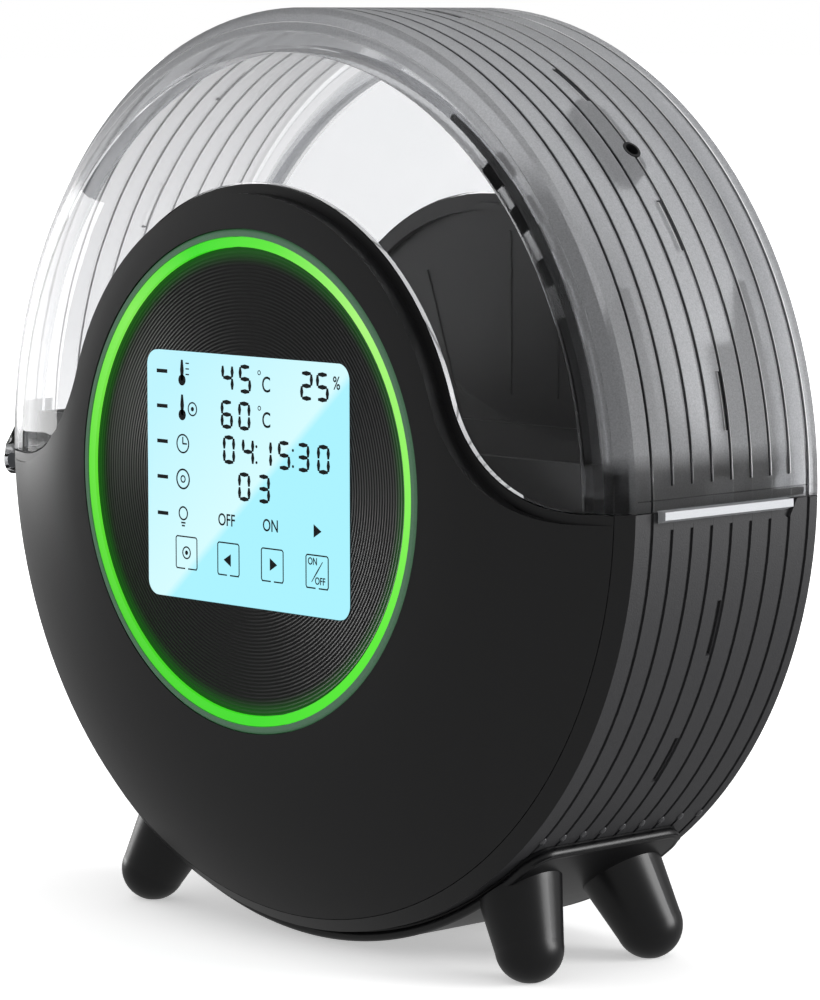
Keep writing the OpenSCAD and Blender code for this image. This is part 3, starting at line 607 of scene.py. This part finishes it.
def strip(x, z, length, width, lean=0.0):
    """A strip that is widest at its middle and narrows to blunt ends: a six-sided disc that stands on
    a corner, with its left and right sides pulled apart."""
    corner = width / 2 / math.sin(math.pi / 3)
    pull = max(length / 2 - corner, 0) * MM
    bpy.ops.object.select_all(action="DESELECT")
    bpy.ops.mesh.primitive_circle_add(vertices=6, radius=corner * MM, fill_type="NGON",
                                      rotation=(math.pi / 2, 0, 0))
    flat = settle(bpy.context.active_object)
    for side in (-1, 1):
        pick(flat, lambda co, side=side: co.x * side > off_middle)
        bpy.ops.transform.translate(value=(side * pull, 0, 0))
        object_mode()
    flat.rotation_euler = (0, -math.radians(lean), 0)
    return thicken(at_screen(flat, x, z))


def block(x, z, width, height):
    bpy.ops.object.select_all(action="DESELECT")
    bpy.ops.mesh.primitive_plane_add(size=1, rotation=(math.pi / 2, 0, 0))
    flat = settle(bpy.context.active_object)
    flat.scale = (width * MM, 1, height * MM)
    return thicken(at_screen(flat, x, z))


def spot(x, z, radius, sides=20, turn=0.0, hollow=0.0):
    """A disc, or with hollow a ring of that width."""
    bpy.ops.object.select_all(action="DESELECT")
    bpy.ops.mesh.primitive_circle_add(vertices=sides, radius=radius * MM, fill_type="NGON",
                                      rotation=(math.pi / 2, 0, 0))
    flat = settle(bpy.context.active_object)
    if hollow:
        edit_mode()
        bpy.ops.mesh.select_all(action="SELECT")
        bpy.ops.mesh.inset(thickness=hollow * MM)
        bpy.ops.mesh.delete(type="FACE")
        object_mode()
    flat.rotation_euler = (0, -math.radians(turn), 0)
    return thicken(at_screen(flat, x, z))


def letters(text, x, z, height):
    """Capitals of that height; cap_share is a capital's part of the type size."""
    cap_share, heavier, narrower = 0.69, 0.05 * MM, 0.86
    bpy.ops.object.select_all(action="DESELECT")
    bpy.ops.object.text_add(rotation=(math.pi / 2, 0, 0))
    words = bpy.context.active_object
    words.data.body = text
    words.data.size = height * MM / cap_share
    words.data.offset = heavier
    bpy.ops.object.convert(target="MESH")
    flat = settle(bpy.context.active_object)
    flat.scale = (narrower, 1, 1)
    return thicken(at_screen(flat, x, z))


print("marks stand", mark_t / MM, "mm thick on the glass")

# %% [markdown]
# ## Digits
# The seven bars of a digit are named a to g, as on any such display: a on top, b and c down the
# right, d below, e and f up the left, and g across the middle. A table says which bars a figure
# lights, so any number can be written by changing one character.

# %% Digits
lit_bars = {"0": "abcdef", "1": "bc", "2": "abged", "3": "abgcd", "4": "fgbc", "5": "afgcd",
            "6": "afgedc", "7": "abc", "8": "abcdefg", "9": "abcdfg"}
digit_w, digit_h, bar_w, bar_gap = 4.3, 7.4, 1.25, 0.2


def digit(figure, x, z):
    """x and z are the digit's lower left corner."""
    half_h = digit_h / 2
    bars = {"a": (digit_w / 2, digit_h, 0), "g": (digit_w / 2, half_h, 0), "d": (digit_w / 2, 0, 0),
            "f": (0, half_h * 1.5, 90), "b": (digit_w, half_h * 1.5, 90),
            "e": (0, half_h / 2, 90), "c": (digit_w, half_h / 2, 90)}
    for name in lit_bars[figure]:
        across, high, lean = bars[name]
        strip(x + across, z + high, (digit_w if lean == 0 else half_h) - bar_gap, bar_w, lean)


for figure, x, z in (("4", -10.4, 27.2), ("5", -2.4, 27.2), ("2", 25.2, 26.8), ("5", 32.2, 26.8),
                     ("6", -10.8, 16.1), ("0", -2.8, 16.1), ("0", -3.0, -5.2), ("3", 5.9, -5.2)):
    digit(figure, x, z)
time_z, colon_dot = 5.5, 0.45
for figure, x in zip("041530", (-9.9, -1.2, 6.9, 15.1, 23.6, 32.5)):
    digit(figure, x, time_z)
for x in (4.8, 21.2):
    for z in (11.0, 6.2):
        spot(x, z, colon_dot)
print("bars and dots", len(marks))

# %% [markdown]
# ## Signs and keys
# The rows are, from the top: the warmth now, the warmth to reach, the time, the spool and the lamp.
# Below them are four touch keys, each in a square outline with cut corners and a gap in its lower
# side: a target, an arrow either way, and ON/OFF.

# %% Row signs
def thermometer(x, z):
    strip(x, z + 1.0, 6.6, 1.5, lean=90)
    spot(x, z - 2.0, 1.7)


def clock(x, z):
    spot(x, z, 3.0, sides=36, hollow=0.5)
    block(x, z + 1.0, 0.5, 2.2)
    block(x + 0.9, z, 2.0, 0.5)


def spool(x, z):
    spot(x, z, 3.2, sides=36, hollow=0.55)
    spot(x, z, 1.2, sides=24, hollow=0.45)


def bulb(x, z):
    spot(x, z, 2.2, sides=28, hollow=0.5)
    block(x, z - 2.9, 2.0, 0.5)
    block(x, z - 3.8, 1.4, 0.5)


for z in (31.3, 20.6, 9.8, -1.1, -12.3):
    block(-38.8, z, 5.0, 1.15)
for z in (33.2, 22.6):
    spot(6.2, z, 0.75, hollow=0.28)
    letters("C", 7.3, z - 5.6, 4.6)
letters("%", 38.9, 30.2, 3.8)
letters("OFF", -13.0, -13.9, 3.6)
letters("ON", 7.4, -14.0, 3.6)
spot(31.4, -12.2, 2.3, sides=3, turn=-90)

warm_now_z, warm_goal_z = 31.0, 20.4
thermometer(-29.4, warm_now_z)
for step in (-0.2, 1.5, 3.2):
    block(-26.9, warm_now_z + step, 1.6, 0.4)
thermometer(-29.4, warm_goal_z)
spot(-24.6, warm_goal_z, 2.2, hollow=0.45)
spot(-24.6, warm_goal_z, 0.7)
clock(-29.2, 9.6)
spool(-29.2, -1.2)
bulb(-29.2, -11.7)
print("marks so far", len(marks))

# %% Touch keys
key_half, line_w, corner_cut, cut_run = 4.9, 0.42, 0.5, 0.9
low_middle, low_run = 2.7, 4.0


def key(x, z):
    side_run = 2 * (key_half - corner_cut)
    for side in (-1, 1):
        block(x + side * key_half, z, line_w, side_run)
        block(x + side * low_middle, z - key_half, low_run, line_w)
    block(x, z + key_half, side_run, line_w)
    corner = key_half - corner_cut / 2
    for across in (-1, 1):
        for high in (-1, 1):
            strip(x + across * corner, z + high * corner, cut_run, line_w, lean=-45 * across * high)


for x, z in ((-27.8, -23.7), (-8.3, -24.0), (11.7, -24.1), (31.7, -24.3)):
    key(x, z)
spot(-8.3, -24.3, 2.2, sides=3, turn=90)
spot(11.7, -23.9, 2.2, sides=3, turn=-90)
spot(-27.8, -23.7, 2.0, sides=28, hollow=0.45)
spot(-27.8, -23.7, 0.7)
letters("ON", 27.6, -22.3, 2.1)
letters("OFF", 30.7, -28.0, 2.1)
strip(31.7, -24.3, 8.0, 0.4, lean=52)
print("marks", len(marks))

# %% [markdown]
# ## Liquid crystal
# Where the crystal is switched on, it holds the back light and looks nearly black, a touch blue. It
# has no gloss of its own, so the marks are rough. They are joined into one piece on the glass.

# %% Join the marks
lcd_ink, tree, shader = start_material("dark_liquid_crystal", {"Roughness": 0.6, "IOR": 1.3})
noise = grain(tree, shader, 2 * MM, 0.005 * MM, 0.1)
vary(tree, shader, noise, "#0B1012", "#10171A")
screen_marks = join(marks, "screen_marks")
finish_piece(screen_marks, lcd_ink, "base")
print("screen marks", len(screen_marks.data.polygons), "faces")

# %% [markdown]
# ## The stand's rounded lip
# The saddle that carries the drum ends in a thick rolled lip, which stiffens it and hides the joint
# with the drum. A lip like this is a round section swept along the saddle's edge. The edge is laid
# out flat first, as a rectangle with round corners, and then wrapped round the drum, point by point.
# A curve with a round bevel does the sweep, and is then turned into a mesh.

# %% Lip of the stand
lip_r = 1.7 * MM
saddle_half_turn = math.radians(42)
saddle_half_w = 32.05 * MM
lip_inset, lip_gap = 0.9 * MM, 0.35 * MM
corner_r, corner_steps = 7.5 * MM, 8
point_spacing = 3 * MM
lip_ring = drum_r + lip_gap + lip_r
half_run = saddle_half_turn * drum_r - lip_inset
half_w = saddle_half_w - lip_inset
outline = []
for turn, run, wide in ((0, 1, 1), (90, -1, 1), (180, -1, -1), (270, 1, -1)):
    middle_run, middle_w = run * (half_run - corner_r), wide * (half_w - corner_r)
    for step in range(corner_steps + 1):
        a = math.radians(turn + 90 * step / corner_steps)
        outline.append((middle_run + corner_r * math.cos(a), middle_w + corner_r * math.sin(a)))
path = []
for (run, wide), (next_run, next_wide) in zip(outline, outline[1:] + outline[:1]):
    parts = max(1, round(math.hypot(next_run - run, next_wide - wide) / point_spacing))
    path += [(run + (next_run - run) * k / parts, wide + (next_wide - wide) * k / parts)
             for k in range(parts)]
curve = bpy.data.curves.new("stand_lip", "CURVE")
curve.dimensions = "3D"
curve.bevel_depth = lip_r
curve.bevel_resolution = 3
spline = curve.splines.new("POLY")
spline.points.add(len(path) - 1)
for point, (run, wide) in zip(spline.points, path):
    a = -math.pi / 2 + run / drum_r
    point.co = (lip_ring * math.cos(a), -wide, axis_z + lip_ring * math.sin(a), 1)
spline.use_cyclic_u = True
bpy.ops.object.select_all(action="DESELECT")
stand_lip = bpy.data.objects.new("stand_lip", curve)
bpy.context.scene.collection.objects.link(stand_lip)
stand_lip.select_set(True)
bpy.context.view_layer.objects.active = stand_lip
bpy.ops.object.convert(target="MESH")
outward(stand_lip)
bpy.ops.object.shade_smooth()
finish_piece(stand_lip, smooth_black, "base")
print("lip", len(path), "points", len(stand_lip.data.polygons), "faces")

# %% [markdown]
# ## Nubs at the ends of the grooves
# Where each groove of the base runs out above the stand, the mould leaves a small round nub. One is
# made from a sphere, flattened into a low dome, and the others are copies of it turned to their
# place. The row leans a little, as the ends of the grooves do, and it is repeated on the left. The
# dome's shape is given as shares of the sphere, and its turn and the row's lean in degrees.

# %% Groove nubs
nub_r = 1.15 * MM
nub_flat, nub_tall, nub_back = 0.75, 1.35, 0.25
nub_turn, row_lean = 46.4, 0.25
nub_ring = drum_r - 0.1 * MM
groove_count = 9
first_groove_y, groove_pitch = -30.3 * MM, 8.2 * MM
bpy.ops.object.select_all(action="DESELECT")
bpy.ops.mesh.primitive_uv_sphere_add(segments=16, ring_count=8, radius=nub_r)
nub = bpy.context.active_object
pick(nub, lambda co: co.x < -off_middle)
bpy.ops.transform.resize(value=(nub_back, 1, 1), center_override=(0, 0, 0))
object_mode()
nub.scale = (nub_flat, 1, nub_tall)
settle(nub)
nubs = []
for side in (-1, 1):
    for k in range(groove_count):
        twin = copy_of(nub)
        a = math.radians(row_lean * k / (groove_count - 1) - nub_turn)
        if side < 0:
            a = math.pi - a
        twin.rotation_euler = (0, -a, 0)
        twin.location = (nub_ring * math.cos(a), first_groove_y + k * groove_pitch,
                         axis_z + nub_ring * math.sin(a))
        nubs.append(settle(twin))
bpy.data.objects.remove(nub)
groove_nubs = join(nubs, "groove_nubs")
outward(groove_nubs)
bpy.ops.object.shade_smooth()
# Painted highlight: the nubs are lighter than the rim around them, besides being really polished.
nub_polish_and_highlight = moulded("polished_nub_abs", "#3A3A3C", "#454547", 0.18)
finish_piece(groove_nubs, nub_polish_and_highlight, "base")
print("nubs", len(nubs), "faces", len(groove_nubs.data.polygons))

# %% [markdown]
# ## Ribs inside the back housing
# Thin ribs stiffen the flat inside of the back housing's round top. They show through the front pane
# as fine lines, three upright and one aslant. Each starts as a flat plane that is extruded into a
# low wall and tapered toward its free edge, as a moulded rib has to be to leave its mould. Their
# ends are given in millimetres from the drum's axis: low x and z, then high x and z.

# %% Back ribs
rib_base_y = 42.8 * MM
rib_wide, rib_deep = 1.2 * MM, 0.7 * MM
edge_wide, edge_long = 0.6, 0.98
rib_ends = ((-16, 19, -29, 57), (9, 19, 9, 71), (30, 19, 30, 66), (52, 19, 52, 52))
back_ribs = []
for low_x, low_z, high_x, high_z in rib_ends:
    long = math.hypot(high_x - low_x, high_z - low_z) * MM
    bpy.ops.object.select_all(action="DESELECT")
    bpy.ops.mesh.primitive_plane_add(size=1, rotation=(math.pi / 2, 0, 0))
    rib = settle(bpy.context.active_object)
    rib.scale = (rib_wide, 1, long)
    settle(rib)
    edit_mode()
    bpy.ops.mesh.select_all(action="SELECT")
    bpy.ops.mesh.extrude_region_move(TRANSFORM_OT_translate={"value": (0, -rib_deep, 0)})
    bpy.ops.transform.resize(value=(edge_wide, 1, edge_long), center_override=(0, -rib_deep, 0))
    object_mode()
    outward(rib)
    rib.rotation_euler = (0, math.atan2(high_x - low_x, high_z - low_z), 0)
    rib.location = ((low_x + high_x) / 2 * MM, rib_base_y, axis_z + (low_z + high_z) / 2 * MM)
    back_ribs.append(settle(rib))
housing_ribs = join(back_ribs, "housing_ribs")
finish_piece(housing_ribs, satin_black, "base")
print("ribs at", round(rib_base_y, 4))

# %% [markdown]
# ## Floor
# The floor shows a white of its own only to the camera and to what mirrors or lets light through.
# Far out that is plain white. Near the feet less of it is added, so that the lamps' soft shadow
# stays. What the drum mirrors is a dimmer white, because a black drum in a white room would look
# grey.

# %% Floor
floor_half = 30.0
bpy.ops.object.select_all(action="DESELECT")
bpy.ops.mesh.primitive_plane_add(size=2 * floor_half)
floor = bpy.context.active_object
floor.name = "floor"


def rays(tree):
    """1 for what the camera sees, directly or through the lid, and 1 for what is mirrored."""
    path = add(tree, "ShaderNodeLightPath")
    direct = add(tree, "ShaderNodeMath", links={0: path.outputs["Is Camera Ray"],
                                                1: path.outputs["Is Transmission Ray"]}, operation="MAXIMUM")
    return direct.outputs[0], path.outputs["Is Glossy Ray"]


gloss_share = 0.3
shadow_r, white_r, shadow_lift = 0.24, 0.6, 0.44
material, tree, shader = start_material("pale_floor", {
    "Roughness": 0.9, "Base Color": linear("#FAFAFA"), "Specular IOR Level": 0.0})
direct, mirrored = rays(tree)
place = add(tree, "ShaderNodeTexCoord")
away = add(tree, "ShaderNodeVectorMath", links={0: place.outputs["Object"]}, operation="LENGTH")
far = add(tree, "ShaderNodeMapRange", {"From Min": shadow_r, "From Max": white_r,
                                       "To Min": shadow_lift},
          {"Value": away.outputs["Value"]}, interpolation_type="SMOOTHSTEP")
lift = add(tree, "ShaderNodeMath", links={0: direct, 1: far.outputs["Result"]}, operation="MULTIPLY")
glow = add(tree, "ShaderNodeEmission", {"Color": (1, 1, 1, 1)}, {"Strength": lift.outputs[0]})
both = add(tree, "ShaderNodeAddShader", links={0: shader.outputs[0], 1: glow.outputs[0]})
dim = add(tree, "ShaderNodeEmission", {"Color": (1, 1, 1, 1), "Strength": gloss_share})
only_mirrored = add(tree, "ShaderNodeMath", links={0: mirrored, 1: direct}, operation="SUBTRACT")
only_mirrored.use_clamp = True
surface = add(tree, "ShaderNodeMixShader", links={0: only_mirrored.outputs[0], 1: both.outputs[0],
                                                  2: dim.outputs[0]})
tree.links.new(surface.outputs[0], tree.nodes["Material Output"].inputs["Surface"])
floor.data.materials.append(material)
print("floor", floor.dimensions[:2])

# %% [markdown]
# ## The room
# The world does the same as the floor: white to the camera and through the lid, dimmer where it is
# mirrored, and a plain even fill on everything matt.

# %% World
world = bpy.data.worlds.new("studio")
bpy.context.scene.world = world
world.use_nodes = True
tree = world.node_tree
plain = tree.nodes["Background"]
plain.inputs["Color"].default_value = (1, 1, 1, 1)
direct, mirrored = rays(tree)
gloss = add(tree, "ShaderNodeMath", {1: gloss_share}, {0: mirrored}, operation="MULTIPLY")
shown = add(tree, "ShaderNodeMath", links={0: direct, 1: gloss.outputs[0]}, operation="MAXIMUM")
fill = 0.6
diffused = add(tree, "ShaderNodeLightPath")
fill_part = add(tree, "ShaderNodeMath", {1: fill}, {0: diffused.outputs["Is Diffuse Ray"]},
                operation="MULTIPLY")
level = add(tree, "ShaderNodeMath", links={0: shown.outputs[0], 1: fill_part.outputs[0]},
            operation="MAXIMUM")
tree.links.new(level.outputs[0], plain.inputs["Strength"])
print("world fill", fill)

# %% [markdown]
# ## Lamps
# Three soft boxes: a low one at the left gives the crowned face a soft sheen on that side, a wide
# one from above only fills and isn't mirrored, and a strong one at the right and behind lights the
# rim. None shows through the lid.

# %% Lamps
def soft_lamp(name, place, aim, width, height, watts):
    lamp = bpy.data.lights.new(name, "AREA")
    lamp.shape = "RECTANGLE"
    lamp.size = width
    lamp.size_y = height
    lamp.energy = watts
    holder = bpy.data.objects.new(name, lamp)
    bpy.context.scene.collection.objects.link(holder)
    holder.location = place
    holder.rotation_euler = (Vector(aim) - Vector(place)).to_track_quat("-Z", "Y").to_euler()
    holder.visible_transmission = False
    return holder


aim = (0, 0, axis_z)
soft_lamp("left_softbox", (-1.75, -0.05, 0.24), aim, width=1.0, height=0.45, watts=9)
top = soft_lamp("top_softbox", (0.1, -0.1, 1.7), aim, width=1.4, height=1.4, watts=8)
top.visible_glossy = False
soft_lamp("right_softbox", (1.5, 1.1, 0.55), aim, width=0.9, height=1.2, watts=24)

# %% [markdown]
# ## Camera
# A long lens about 1.4 m away keeps the drum's outline nearly as it is, with only a little
# perspective. Its three directions are written as unit vectors: to the right, up, and back.

# %% Camera
lens_mm = 158.2
shift_right, shift_up = 0.010, -0.0324
lens_place = Vector((0.98894, -0.91877, axis_z + 0.13405))
right = Vector((0.68209, 0.73127, -0.00201))
up = Vector((-0.07159, 0.06951, 0.99501))
back = Vector((0.72776, -0.67854, 0.09976))
camera_data = bpy.data.cameras.new("camera")
camera_data.lens = lens_mm
camera_data.shift_x = shift_right
camera_data.shift_y = shift_up
camera = bpy.data.objects.new("camera", camera_data)
bpy.context.scene.collection.objects.link(camera)
turn = Matrix((right, up, back)).transposed()
camera.matrix_world = Matrix.Translation(lens_place) @ turn.to_4x4()
bpy.context.scene.camera = camera
bpy.context.scene.view_settings.view_transform = "Standard"
print("camera", [round(c, 3) for c in camera.location])
